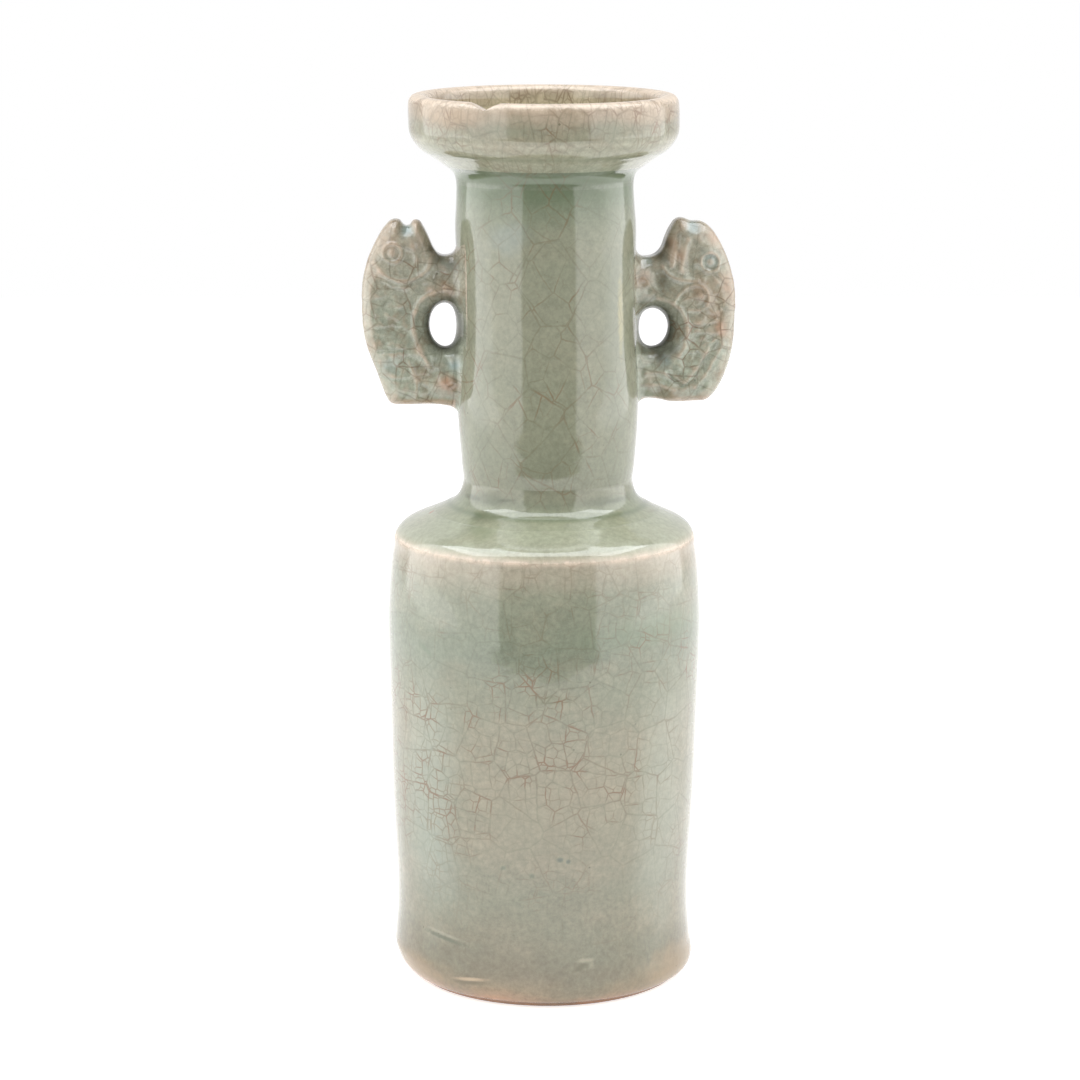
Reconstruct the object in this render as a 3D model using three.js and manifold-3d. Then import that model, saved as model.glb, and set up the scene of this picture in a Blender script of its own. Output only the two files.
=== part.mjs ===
// A glazed stoneware mallet vase with a dish mouth and a pair of fish handles.
//
// The vase is put together from clay members before it is fired: a thrown cylinder with its
// base and turned foot, a domed shoulder, a neck, a dish mouth, coils of soft clay worked into
// the three joints, and two press-moulded fish, each luted to the neck on two wads of clay.
// Millimetres, +Z up, the foot on z = 0 and the axis on the origin. The fish lie along X, and
// -Y is the front.
import * as THREE from 'three';
import { mergeVertices } from 'three/addons/utils/BufferGeometryUtils.js';
import Module from 'manifold-3d';

const wasm = await Module();
wasm.setup();

// Heights
const footRecess = 3.0; // depth of the hollow turned inside the foot ring
const bodyHeight = 126.9; // foot to the sharp edge of the shoulder
const shoulderRise = 6.7; // sharp edge to the seat of the neck
const neckHeight = 95.0; // between its two seats
const dishHeight = 21.4; // seat on the neck to the crest of the lip
const baseThickness = 9.0; // floor of the body, over the foot's hollow
const heelHeight = 7.0; // foot to the swelling above it

// Radii of the thrown members
const footRadius = 37.9;
const heelRadius = 42.2; // the swelling just above the foot
const waistRadius = 41.4; // the slight waist above the heel
const bellyRadius = 43.8; // the widest part, high on the body
const shoulderRadius = 42.0; // the sharp edge
const neckRootRadius = 24.0;
const neckMiddleRadius = 25.2;
const neckTopRadius = 24.5;
const dishRadius = 37.3;

// Walls
const bodyWall = 6.5;
const shoulderWall = 6.0;
const neckWall = 6.0;
const dishWall = 5.4;
const footRingWidth = 5.2;

// Coils worked into the joints
const rootCoilReach = 7.0; // how far it spreads over the shoulder
const rootCoilRise = 7.4; // how far it climbs the neck
const mouthCoilReach = 2.6;
const mouthCoilRise = 3.4;
const seamCoilReach = 4.0; // inside the body, under the shoulder

// Fish handles
const handleTop = 215.8; // height of the fish's lips
const handleHeight = 52.1; // lips to the flat end of the tail
const leftReach = 26.1; // from the neck's skin to the fish's back
const rightReach = 27.5;
const leftFullness = 0; // how far the lower back is swollen
const rightFullness = 2.6;
const leftTurn = 2; // degrees that each fish is turned out of the vase's plane
const rightTurn = 7;
const fishThickness = 13.0; // both halves of the mould together
const edgeRound = 3.2; // how far the face falls away towards the outline
const edgeDepth = 4.2; // how far below the face that fall begins
const finBottom = 28.0; // the fin that holds the fish to the neck, up from the tail's end
const finTop = 41.4;
const curlTop = 15.6; // the curled tail, luted to the neck from its end up to here
const holeReach = 7.6; // the gap between fish and neck, from the neck's skin
const lipSpan = 7.6; // over both lips
const mouthInset = 12.8; // the notch between the lips, in from the back
const mouthWidth = 4.8;
const mouthDepth = 5.0;
const eyeRadius = 2.5;
const leftEyeInset = 8.8; // in from the back
const leftEyeHeight = 42.6; // up from the tail's end
const rightEyeInset = 7.8;
const rightEyeHeight = 39.6;
const wadDepth = 3.2; // clay between the neck and each arm of the fish
const wadSpread = 1.9; // how far a wad spreads where it is pressed on to the neck
const wadMargin = 0.8; // how far a wad stays inside the edge of the arm
const luteGap = 0.3; // the slip between one member and the next

const turns = 42; // facets round the thrown members

const shoulderSeat = bodyHeight;
const neckSeat = shoulderSeat + shoulderRise;
const dishSeat = neckSeat + neckHeight;
const lipHeight = dishSeat + dishHeight;
const neckBore = neckMiddleRadius - neckWall;
const bellyLevel = 0.79 * bodyHeight; // where the body is widest
const bodyMouth = shoulderRadius - bodyWall; // the body's opening under the shoulder

const glazeGreen = new THREE.MeshStandardMaterial({ color: 0xabad97, roughness: 0.18, metalness: 0 });
const glazeTan = new THREE.MeshStandardMaterial({ color: 0xb9ad96, roughness: 0.25, metalness: 0 });
const bareClay = new THREE.MeshStandardMaterial({ color: 0xb08a66, roughness: 0.8, metalness: 0 });

// Thrown members: closed profiles of [radius, height], turned round the axis.

function thrown(name, outline, material) {
  const points = outline.map(([r, z]) => new THREE.Vector2(r, z));
  points.push(points[0].clone());
  const geometry = new THREE.LatheGeometry(points, turns);
  geometry.rotateX(Math.PI / 2);
  const mesh = new THREE.Mesh(geometry, material);
  mesh.name = name;
  return mesh;
}

// A smooth run of outline through a few [radius, height] points.
function smooth(points, steps) {
  const curve = new THREE.SplineCurve(points.map(([r, z]) => new THREE.Vector2(r, z)));
  return curve.getPoints(steps).map((p) => [p.x, p.y]);
}

// A quarter of an ellipse from one point to another, hollow towards the outside.
function cove(fromR, fromZ, toR, toZ, steps) {
  const points = [];
  for (let i = 0; i <= steps; i++) {
    const a = (Math.PI / 2) * (i / steps);
    points.push([toR + (fromR - toR) * (1 - Math.sin(a)), fromZ + (toZ - fromZ) * (1 - Math.cos(a))]);
  }
  return points;
}

// The neck's outside, from its seat on the shoulder to its seat under the dish.
const neckSkin = [
  [neckRootRadius, neckSeat],
  ...smooth(
    [
      [neckRootRadius, neckSeat + rootCoilRise],
      [neckMiddleRadius - 0.4, neckSeat + 0.18 * neckHeight],
      [neckMiddleRadius, neckSeat + 0.28 * neckHeight],
      [neckMiddleRadius - 0.3, neckSeat + 0.5 * neckHeight],
      [neckMiddleRadius - 0.4, neckSeat + 0.75 * neckHeight],
      [neckTopRadius + 0.2, neckSeat + 0.92 * neckHeight],
      [neckTopRadius, dishSeat - mouthCoilRise],
    ],
    9,
  ),
  [neckTopRadius, dishSeat],
];

function body() {
  const outside = smooth(
    [
      [heelRadius, heelHeight],
      [waistRadius, 0.17 * bodyHeight],
      [waistRadius + 0.2, 0.24 * bodyHeight],
      [(waistRadius + bellyRadius) / 2, 0.42 * bodyHeight],
      [bellyRadius - 0.4, 0.65 * bodyHeight],
      [bellyRadius, bellyLevel],
      [bellyRadius - 0.6, 0.9 * bodyHeight],
      [shoulderRadius, shoulderSeat],
    ],
    11,
  );
  const ringInside = footRadius - footRingWidth;
  const ringSlope = 1.5; // the foot ring widens upwards on its inner side
  const floor = footRecess + baseThickness;
  const innerWall = waistRadius - bodyWall;
  return thrown(
    'body',
    [
      [ringInside, 0],
      [footRadius - 0.8, 0],
      [footRadius, 0.5],
      [footRadius + 0.55 * (heelRadius - footRadius), 0.28 * heelHeight],
      [heelRadius - 0.5, 0.63 * heelHeight],
      ...outside,
      [bodyMouth, shoulderSeat],
      [bodyMouth, shoulderSeat - 1.2 * seamCoilReach],
      [bellyRadius - bodyWall, bellyLevel],
      [innerWall, floor + 12],
      [innerWall - 3, floor + 3],
      [innerWall - 10, floor],
      [0, floor],
      [0, footRecess],
      [ringInside - ringSlope, footRecess],
    ],
    glazeGreen,
  );
}

function shoulder() {
  const dome = smooth(
    [
      [shoulderRadius, shoulderSeat],
      [shoulderRadius - 1.2, shoulderSeat + 0.31 * shoulderRise],
      [shoulderRadius - 3.5, shoulderSeat + 0.59 * shoulderRise],
      [shoulderRadius - 7.0, shoulderSeat + 0.85 * shoulderRise],
      [neckRootRadius + rootCoilReach, neckSeat],
    ],
    6,
  );
  return thrown(
    'shoulder',
    [
      [bodyMouth, shoulderSeat],
      ...dome,
      [neckBore, neckSeat],
      [neckBore, neckSeat - shoulderWall],
      [neckBore + 3, neckSeat - shoulderWall - 0.5],
      [bodyMouth - seamCoilReach, shoulderSeat],
    ],
    glazeGreen,
  );
}

function neck() {
  return thrown('neck', [...neckSkin, [neckBore, dishSeat], [neckBore, neckSeat]], glazeGreen);
}

function mouthDish() {
  const underside = neckTopRadius + mouthCoilReach;
  const innerRadius = dishRadius - dishWall;
  return thrown(
    'mouth_dish',
    [
      [neckBore, dishSeat],
      [underside, dishSeat],
      ...smooth(
        [
          [underside + 1.6, dishSeat + 1.7],
          [dishRadius - 3.3, dishSeat + 5.7],
          [dishRadius - 1.3, dishSeat + 8.4],
          [dishRadius - 0.2, dishSeat + 11.2],
          [dishRadius, dishSeat + 15],
          [dishRadius - 0.1, lipHeight - 3],
          [dishRadius - 0.8, lipHeight - 1.0],
          [dishRadius - 2.3, lipHeight],
          [innerRadius + 0.7, lipHeight - 0.5],
          [innerRadius - 0.5, lipHeight - 1.9],
          [innerRadius - 0.6, dishSeat + 12.5],
          [innerRadius - 2.4, dishSeat + 8.5],
          [innerRadius - 6.5, dishSeat + 6.4],
          [neckBore, dishSeat + 4.6],
        ],
        18,
      ),
    ],
    glazeTan,
  );
}

function neckRootCoil() {
  return thrown(
    'neck_root_coil',
    [
      [neckRootRadius, neckSeat],
      ...cove(neckRootRadius + rootCoilReach, neckSeat, neckRootRadius, neckSeat + rootCoilRise, 5),
    ],
    glazeGreen,
  );
}

function mouthCoil() {
  const outside = cove(neckTopRadius + mouthCoilReach, dishSeat, neckTopRadius, dishSeat - mouthCoilRise, 3);
  return thrown('mouth_coil', [[neckTopRadius, dishSeat], ...outside].reverse(), glazeGreen);
}

function seamCoil() {
  const inside = [
    [bodyMouth - seamCoilReach, shoulderSeat],
    [bodyMouth - 0.4 * seamCoilReach, shoulderSeat - 0.4 * seamCoilReach],
    [bodyMouth, shoulderSeat - seamCoilReach],
  ];
  return thrown('shoulder_seam_coil', [[bodyMouth, shoulderSeat], ...inside], bareClay);
}

// Press-moulded fish. Each is drawn in its own plane: u is the distance from the vase's axis,
// v the height above the fish's flat tail, and the thickness lies along Y.

const armFace = neckMiddleRadius + wadDepth; // where the arms end on their wads
const tailHeight = handleTop - handleHeight;
const seamCut = luteGap / 2; // each half of the mould stops this far from the middle
const halfThickness = fishThickness / 2;
const holeMiddle = (finBottom + curlTop) / 2;
const fin = { bottom: finBottom, top: finTop };
const curl = { bottom: 0, top: curlTop };

function solidOf(geometry) {
  const plain = geometry.index ? geometry.toNonIndexed() : geometry.clone();
  const bare = new THREE.BufferGeometry().setAttribute('position', plain.getAttribute('position'));
  const merged = mergeVertices(bare, 1e-3);
  const corners = merged.index.array;
  const kept = []; // triangles that merging has not closed up
  for (let i = 0; i < corners.length; i += 3) {
    const [a, b, c] = corners.subarray(i, i + 3);
    if (a !== b && b !== c && c !== a) kept.push(a, b, c);
  }
  return new wasm.Manifold(
    new wasm.Mesh({
      numProp: 3,
      vertProperties: merged.attributes.position.array,
      triVerts: new Uint32Array(kept),
    }),
  );
}

function geometryOf(solid) {
  const mesh = solid.getMesh();
  const stride = mesh.numProp;
  const positions = new Float32Array(mesh.numVert * 3);
  for (let i = 0; i < mesh.numVert; i++) {
    positions.set(mesh.vertProperties.subarray(i * stride, i * stride + 3), 3 * i);
  }
  const geometry = new THREE.BufferGeometry();
  geometry.setAttribute('position', new THREE.BufferAttribute(positions, 3));
  geometry.setIndex(new THREE.BufferAttribute(mesh.triVerts, 1));
  return geometry;
}

function block(size, centre) {
  return solidOf(new THREE.BoxGeometry(...size).translate(...centre));
}

// The side view of the fish, head up: the back bows outwards, the fin and the curled tail reach
// to the neck on either side of the hole. fullness is how much the lower back is swollen.
function fishShape(reach, fullness) {
  const back = neckMiddleRadius + reach;
  const inner = armFace - 6; // the arms run on past their ends and are cut off there
  const outerLip = back - mouthInset + lipSpan / 2;
  const innerLip = back - mouthInset - lipSpan / 2;
  const innerLipTop = handleHeight - 1.4;

  // in from the back, share of the height, share of the fullness
  const backLine = [
    [6.6, 0.03, 0.8],
    [4.6, 0.14, 1],
    [2.4, 0.26, 0.8],
    [0.2, 0.42, 0],
    [0, 0.57, 0],
    [0.9, 0.69, 0],
    [2.7, 0.8, 0],
    [5.4, 0.91, 0],
  ];
  // in from the inner lip, share of the way from the fin up to the lip
  const throatLine = [
    [1.9, 0.77],
    [3.8, 0.26],
    [5.8, 0.03],
  ];
  const onBack = ([inset, up, full]) => new THREE.Vector2(back - inset + full * fullness, up * handleHeight);
  const throatRise = innerLipTop - finTop;
  const onThroat = ([inset, up]) => new THREE.Vector2(innerLip - inset, finTop + up * throatRise);
  const shape = new THREE.Shape();
  shape.moveTo(inner, 0);
  shape.lineTo(back - 8.6 + 0.5 * fullness, 0);
  shape.splineThru([...backLine.map(onBack), new THREE.Vector2(outerLip, handleHeight - 0.7)]);
  shape.quadraticCurveTo(back - mouthInset, handleHeight + 1.2, innerLip, innerLipTop);
  shape.splineThru(throatLine.map(onThroat));
  shape.lineTo(inner, finTop);
  shape.lineTo(inner, finBottom);
  const holeStart = armFace - 0.6;
  const holeWidth = neckMiddleRadius + holeReach - holeStart;
  const holeHeight = (finBottom - curlTop) / 2;
  const quarter = Math.PI / 2;
  shape.lineTo(holeStart, finBottom);
  shape.absellipse(holeStart, holeMiddle, holeWidth, holeHeight, quarter, -quarter, true);
  shape.lineTo(inner, curlTop);
  return shape;
}

// The blank of one half: the side view, drawn in as it rises to its face. The seam is on y = 0.
function blank(reach, fullness) {
  const count = 60; // points round the outline
  const layers = 5;
  const evening = 0.35; // how far each layer's points are evened out, so that they never cross
  const outline = fishShape(reach, fullness).getSpacedPoints(count).slice(0, count);
  const loop = outline.map((p) => p.clone());
  const positions = [];
  const index = [];
  let inset = 0;
  for (let k = 0; k < layers; k++) {
    const a = (Math.PI / 2) * (Math.max(k - 1, 0) / (layers - 2));
    const step = edgeRound * (1 - Math.cos(a)) - inset;
    inset += step;
    const inwards = loop.map((p, i) => {
      const along = loop[(i + 1) % count].clone().sub(loop[(i + count - 1) % count]).normalize();
      return new THREE.Vector2(-along.y, along.x).multiplyScalar(step).add(p);
    });
    loop.forEach((p, i) => {
      const even = inwards[(i + 1) % count].clone().add(inwards[(i + count - 1) % count]).multiplyScalar(0.5);
      p.copy(inwards[i]).lerp(even, k > 1 ? evening : 0);
    });
    const y = k === 0 ? 0 : halfThickness - edgeDepth * (1 - Math.sin(a));
    for (const p of loop) positions.push(p.x, y, p.y);
  }
  addRings(index, count, layers);
  const top = (layers - 1) * count;
  for (const [a, b, c] of THREE.ShapeUtils.triangulateShape(outline, [])) {
    index.push(a, b, c, top + a, top + c, top + b);
  }
  return solidOf(indexed(positions, index));
}

// The sides between rings of points that lie one over another.
function addRings(index, count, rings) {
  for (let k = 0; k < rings - 1; k++) {
    for (let i = 0; i < count; i++) {
      const a = k * count + i;
      const b = k * count + ((i + 1) % count);
      index.push(a, a + count, b, b, a + count, b + count);
    }
  }
}

function indexed(positions, index) {
  const geometry = new THREE.BufferGeometry();
  geometry.setAttribute('position', new THREE.Float32BufferAttribute(positions, 3));
  geometry.setIndex(index);
  return geometry;
}

// A raised line on the face of the fish, through [u, v] points.
function raisedLine(points, radius, steps) {
  const proud = 0.65; // share of its radius that stands out of the face
  const centre = halfThickness - (1 - proud) * radius;
  const path = new THREE.CatmullRomCurve3(points.map(([u, v]) => new THREE.Vector3(u, centre, v)));
  const section = new THREE.Shape();
  section.absarc(0, 0, radius, 0, 2 * Math.PI);
  return solidOf(new THREE.ExtrudeGeometry(section, { steps, curveSegments: 3, extrudePath: path }));
}

// The eye: a raised ring round a pupil.
function eye(u, v) {
  const ringWidth = 0.55;
  const pupilRadius = 0.45 * eyeRadius;
  const centre = halfThickness - 0.1;
  const ring = new THREE.TorusGeometry(eyeRadius, ringWidth, 6, 14).rotateX(Math.PI / 2);
  const pupil = new THREE.SphereGeometry(pupilRadius, 8, 6);
  return solidOf(ring.translate(u, centre, v)).add(solidOf(pupil.translate(u, centre, v)));
}

// The raised rays of a fin. They spread from one point, between two bearings in degrees.
function fan({ u, v, start, end, bearings, rays }) {
  const radius = 0.5;
  const lines = [];
  for (let i = 0; i < rays; i++) {
    const a = THREE.MathUtils.degToRad(THREE.MathUtils.lerp(...bearings, i / (rays - 1)));
    const at = (length) => [u + length * Math.cos(a), v + length * Math.sin(a)];
    lines.push(raisedLine([at(start), at(end)], radius, 1));
  }
  return lines;
}

// Overlapping scales, each a shallow raised arc, in staggered rows down the flank.
function scales(back) {
  const rows = 3;
  const perRow = 3;
  const across = 3.3; // from one scale to the next
  const down = 4.1; // from one row to the next
  const stagger = 1.4;
  const halfWidth = 1.5;
  const sag = 2.0;
  const first = { inset: 5.4, height: 26.4 };
  const arcs = [];
  for (let row = 0; row < rows; row++) {
    for (let i = 0; i < perRow; i++) {
      const u = back - first.inset - across * i - stagger * (row % 2);
      const v = first.height - down * row;
      arcs.push(raisedLine([[u - halfWidth, v], [u, v - sag], [u + halfWidth, v]], 0.4, 3));
    }
  }
  return arcs;
}

// One half of the fish, on the +Y side of the seam.
function fishHalf({ reach, fullness, eyeInset, eyeHeight }) {
  const back = neckMiddleRadius + reach;
  const gill = [
    [back - 3.4, finTop - 2.2],
    [back - 6.0, finTop - 5.6],
    [back - 10.4, finTop - 7.6],
    [back - 15.4, finTop - 6.2],
    [back - 17.6, finTop - 2.2],
  ];
  const holeRim = [
    [armFace + 0.5, finBottom + 5.2],
    [armFace + 5.6, finBottom + 2.0],
    [armFace + 8.4, holeMiddle + 2.5],
    [armFace + 8.0, holeMiddle - 4.0],
    [armFace + 5.6, curlTop - 3.6],
  ];
  const spine = [
    [back - 3.5, 0.65 * handleHeight],
    [back - 2.8, 0.52 * handleHeight],
    [back - 3.6, 0.35 * handleHeight],
    [back - 6.4 + 0.6 * fullness, 0.17 * handleHeight],
  ];
  const pectoralFin = { u: back - 15.2, v: 27.6, start: 0.6, end: 6.4, bearings: [8, 48], rays: 4 };
  const tailFin = { u: armFace + 8.5, v: 9.0, start: 3.0, end: 8.4, bearings: [150, 205], rays: 4 };
  const relief = [
    raisedLine(gill, 0.75, 8),
    raisedLine(holeRim, 0.7, 8),
    raisedLine(spine, 0.5, 5),
    eye(back - eyeInset, eyeHeight),
    ...fan(pectoralFin),
    ...fan(tailFin),
    ...scales(back),
  ];
  const mouth = new THREE.ConeGeometry(mouthWidth / 2, mouthDepth, 10).rotateX(-Math.PI / 2);
  mouth.translate(back - mouthInset, 0, handleHeight - 1.2);
  const size = 200;
  const kept = block([size, size, size], [armFace + size / 2, seamCut + size / 2, 0]);
  return relief
    .reduce((whole, piece) => whole.add(piece), blank(reach, fullness))
    .subtract(solidOf(mouth))
    .intersect(kept);
}

// A wad of soft clay: as wide as the arm where it meets it, spreading on to the neck.
function wad(arm) {
  const sides = 20;
  const rings = 5;
  const squareness = 0.6; // a rounded rectangle rather than an ellipse
  const inner = neckMiddleRadius - 3; // cut back to the neck's skin below
  const outer = armFace - luteGap;
  const middle = (arm.top + arm.bottom) / 2;
  const halfHeight = (arm.top - arm.bottom) / 2 - wadMargin;
  const halfWidth = halfThickness - wadMargin;
  const rounded = (value) => Math.sign(value) * Math.abs(value) ** squareness;
  const positions = [];
  const index = [];
  for (let i = 0; i < rings; i++) {
    const t = i / (rings - 1);
    const u = outer + (inner - outer) * t;
    const spread = wadSpread * t * t;
    for (let j = 0; j < sides; j++) {
      const a = (2 * Math.PI * j) / sides;
      const y = (halfWidth + spread) * rounded(Math.cos(a));
      const v = middle + (halfHeight + spread) * rounded(Math.sin(a));
      positions.push(u, y, v);
    }
  }
  addRings(index, sides, rings);
  const last = (rings - 1) * sides;
  for (let j = 1; j < sides - 1; j++) {
    index.push(0, j, j + 1);
    index.push(last, last + j + 1, last + j);
  }
  const geometry = indexed(positions, index).translate(0, 0, tailHeight);
  const skin = neckSkin.map(([r, z]) => [r + luteGap, z]);
  const neckSpace = thrown('neck_space', [[0, neckSeat], ...skin, [0, dishSeat]], glazeGreen);
  return geometryOf(solidOf(geometry).subtract(solidOf(neckSpace.geometry)));
}

// A fish with its wads. side is left on -X or right on +X, and the fish is drawn on +X.
function handle(side, fish) {
  const left = side === 'left';
  const group = new THREE.Group();
  group.rotation.z = THREE.MathUtils.degToRad(fish.turn + (left ? 180 : 0));
  const half = fishHalf(fish);
  const nearHalf = geometryOf(half).translate(0, 0, tailHeight);
  const farHalf = geometryOf(half.mirror([0, 1, 0])).translate(0, 0, tailHeight);
  const pieces = {
    fish_front: [left ? nearHalf : farHalf, glazeGreen],
    fish_back: [left ? farHalf : nearHalf, glazeGreen],
    upper_wad: [wad(fin), bareClay],
    lower_wad: [wad(curl), bareClay],
  };
  for (const [name, [geometry, material]] of Object.entries(pieces)) {
    const mesh = new THREE.Mesh(geometry, material);
    mesh.name = `${side}_${name}`;
    group.add(mesh);
  }
  return group;
}

const leftFish = {
  turn: leftTurn,
  reach: leftReach,
  fullness: leftFullness,
  eyeInset: leftEyeInset,
  eyeHeight: leftEyeHeight,
};
const rightFish = {
  turn: rightTurn,
  reach: rightReach,
  fullness: rightFullness,
  eyeInset: rightEyeInset,
  eyeHeight: rightEyeHeight,
};

const vase = new THREE.Group();
vase.add(body(), shoulder(), neck(), mouthDish(), neckRootCoil(), mouthCoil(), seamCoil());
vase.add(handle('right', rightFish), handle('left', leftFish));

export default vase;
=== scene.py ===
import math

import bpy
import numpy as np
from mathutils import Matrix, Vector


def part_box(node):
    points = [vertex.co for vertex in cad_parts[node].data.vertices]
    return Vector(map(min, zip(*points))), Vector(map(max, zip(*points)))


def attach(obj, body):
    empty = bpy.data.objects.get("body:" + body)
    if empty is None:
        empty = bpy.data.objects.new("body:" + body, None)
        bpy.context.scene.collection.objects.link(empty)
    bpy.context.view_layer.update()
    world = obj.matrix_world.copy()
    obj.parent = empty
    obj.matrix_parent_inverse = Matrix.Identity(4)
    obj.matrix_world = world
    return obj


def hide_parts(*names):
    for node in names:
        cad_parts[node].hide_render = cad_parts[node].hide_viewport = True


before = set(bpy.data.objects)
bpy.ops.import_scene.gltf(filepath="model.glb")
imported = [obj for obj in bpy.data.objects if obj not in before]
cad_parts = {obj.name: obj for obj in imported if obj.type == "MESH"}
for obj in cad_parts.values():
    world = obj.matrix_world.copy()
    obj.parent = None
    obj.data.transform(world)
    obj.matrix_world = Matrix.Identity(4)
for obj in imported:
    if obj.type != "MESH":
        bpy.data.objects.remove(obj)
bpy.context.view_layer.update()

# The body
# A thrown cylinder of grey stoneware with its base and turned foot ring. The glaze runs over all
# of it but the ring it stands on, where the bare clay has fired burnt orange.

MM = 0.001
shoulder_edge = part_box("body")[1].z / MM
shoulder_reach = 41.8
turns = 224


def through(points, step=0.7):
    """A smooth line through [radius, height] points. The first and the last only guide it."""
    p = np.array(points, float)
    spans = np.linalg.norm(np.diff(p, axis=0), axis=1)
    knots = np.concatenate([[0], np.cumsum(np.sqrt(spans))])
    line = []
    for i in range(1, len(p) - 2):
        before, here, after, last = knots[i - 1 : i + 3]
        width = after - here
        rise = (p[i + 1] - p[i]) / width
        rise_before = (p[i] - p[i - 1]) / (here - before)
        rise_after = (p[i + 2] - p[i + 1]) / (last - after)
        leave = (rise_before * width + rise * (here - before)) / (after - before)
        arrive = (rise * (last - after) + rise_after * width) / (last - here)
        for t in np.linspace(0, 1, max(2, math.ceil(spans[i] / step)), endpoint=False):
            line.append(
                p[i] * (1 - 3 * t**2 + 2 * t**3)
                + p[i + 1] * (3 * t**2 - 2 * t**3)
                + leave * width * (t - 2 * t**2 + t**3)
                + arrive * width * (t**3 - t**2)
            )
    line.append(p[-2])
    return [tuple(q) for q in line]


def out_of_true(angle, height):
    """How far the potter's hand left the wall out of round, in millimetres."""
    oval = 0.16 * np.sin(2 * angle + 0.9 + 0.010 * height)
    dents = 0.07 * np.sin(3 * angle - 0.031 * height) + 0.035 * np.sin(5 * angle + 0.09 * height + 1.3)
    rings = 0.008 * np.sin(0.62 * height + 1.4 * np.sin(angle) + 0.4)
    return oval + dents + rings


def lean(height):
    """How far the axis wanders to the right of straight at a height, in millimetres."""
    heights = [0, 3, 9, 60, 100, 127, 131, 136, 150, 180, 215, 240, 250]
    drifts = [1.1, 0.9, -0.4, -0.1, 0.1, 0.1, 0.35, 0.95, 1.1, 0.9, 0.4, 0.1, -0.1]
    return np.interp(height, heights, drifts)


def set_up(name, data):
    """A mesh, lamp or camera as a thing in the scene."""
    thing = bpy.data.objects.new(name, data)
    bpy.context.scene.collection.objects.link(thing)
    return thing


def form(name, corners, faces, **amounts):
    """A smooth-shaded piece from corners in millimetres. amounts are numbers for every corner: thin
    is 1 where the glaze is thin and -1 where it has pooled, flush is 1 where it has reddened and
    -1 where it is milky, and the recess shade is 1 where shade is painted into a recess."""
    mesh = bpy.data.meshes.new(name)
    mesh.from_pydata((np.asarray(corners) * MM).tolist(), [], [list(f) for f in faces])
    mesh.shade_smooth()
    mesh.set_sharp_from_angle(angle=math.radians(48))
    for key, values in amounts.items():
        layer = mesh.attributes.new(key, "FLOAT", "POINT")
        layer.data.foreach_set("value", np.asarray(values, np.float32))
    return set_up(name, mesh)


def throw(name, outline, thin_glaze, mark=None):
    """Turns an outline of (radius, height) round the axis: a closed ring, or a solid when it
    starts and ends on the axis. thin_glaze(radius, height) gives the glaze's thinness, and mark
    moves the wall where it isn't the plain turned form."""
    line = np.array(outline, float)
    solid = line[0, 0] == 0 and line[-1, 0] == 0
    rings = line[1:-1] if solid else line
    angle = np.linspace(0, 2 * math.pi, turns, endpoint=False)
    r = rings[:, :1] + out_of_true(angle[None, :], rings[:, 1:])
    z = np.repeat(rings[:, 1:], turns, axis=1)
    if mark:
        r, z = mark(angle[None, :], r, z)
    x = r * np.cos(angle) + lean(z)
    y = r * np.sin(angle)
    corners = np.stack([x, y, z], axis=2).reshape(-1, 3)
    thin = np.repeat([thin_glaze(a, b) for a, b in rings], turns)
    count = len(rings)
    faces = []
    for i in range(count if not solid else count - 1):
        for j in range(turns):
            k = (j + 1) % turns
            here = i * turns
            there = (i + 1) % count * turns
            faces.append((here + j, here + k, there + k, there + j))
    if solid:
        first = len(corners)
        ends = [(lean(z_end), 0, z_end) for z_end in (line[0, 1], line[-1, 1])]
        corners = np.vstack([corners, ends])
        thin = np.append(thin, [1, 0])
        top = (count - 1) * turns
        for j in range(turns):
            k = (j + 1) % turns
            faces.append((first, k, j))
            faces.append((top + j, top + k, first + 1))
    return form(name, corners, faces, thin=thin)


def near(value, middle, width):
    """1 at the middle, falling smoothly to about a third at a width away, and on to 0."""
    return math.exp(-(((value - middle) / width) ** 2))


foot_outside = 37.9
foot_inside = 32.7
foot_hollow = 3.0
floor_height = 12.0
body_mouth = 35.7

body_skin = through(
    [
        (37.0, -1.0), (37.9, 0.9), (40.2, 2.1), (41.7, 4.4), (42.2, 7.5), (41.9, 12), (41.4, 20),
        (41.5, 30), (42.3, 44), (43.0, 60), (43.3, 75), (43.7, 90), (43.9, 102), (43.5, 112),
        (42.9, 119), (42.2, 124), (shoulder_reach, shoulder_edge), (40.4, 129.1),
    ]
)
body_inside = [
    (35.6, 130), (35.8, 125.5), (37.2, 104), (35.3, 50), (34.9, 24), (32.5, 15.5), (24, 12.4),
    (10, 12),
]
body_outline = [
    (0, foot_hollow), (15, foot_hollow + 0.2), (26, foot_hollow + 0.1), (31, foot_hollow - 0.3),
    (foot_inside - 0.2, foot_hollow - 1.2), (foot_inside, 0.5), (foot_inside + 0.5, 0.0), (35, 0.0),
    (foot_outside - 0.8, 0.0), (foot_outside - 0.2, 0.3),
    *body_skin,
    (40, shoulder_edge), (body_mouth, shoulder_edge),
    *through(body_inside, 2),
    (0, floor_height),
]


bare_within = 30


def body_thin(radius, height):
    foot = 1 if radius < bare_within else 0
    edge = 0.7 * near(height, shoulder_edge, 0.8) + 0.12 * near(height, shoulder_edge - 4, 4.5)
    return min(1, foot + edge)


shoulder_drop = 0.6
drop_radius = 42


def tipped_forward(angle, radius, height):
    """The shoulder lies a little lower at the front than at the back, and all that meets it."""
    share = np.interp(height, [110, 125, 137, 146], [0, 1, 1, 0])
    return radius, height + shoulder_drop * share * np.sin(angle) * radius / drop_radius


body = throw("body_dressed", body_outline, body_thin, tipped_forward)


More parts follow.
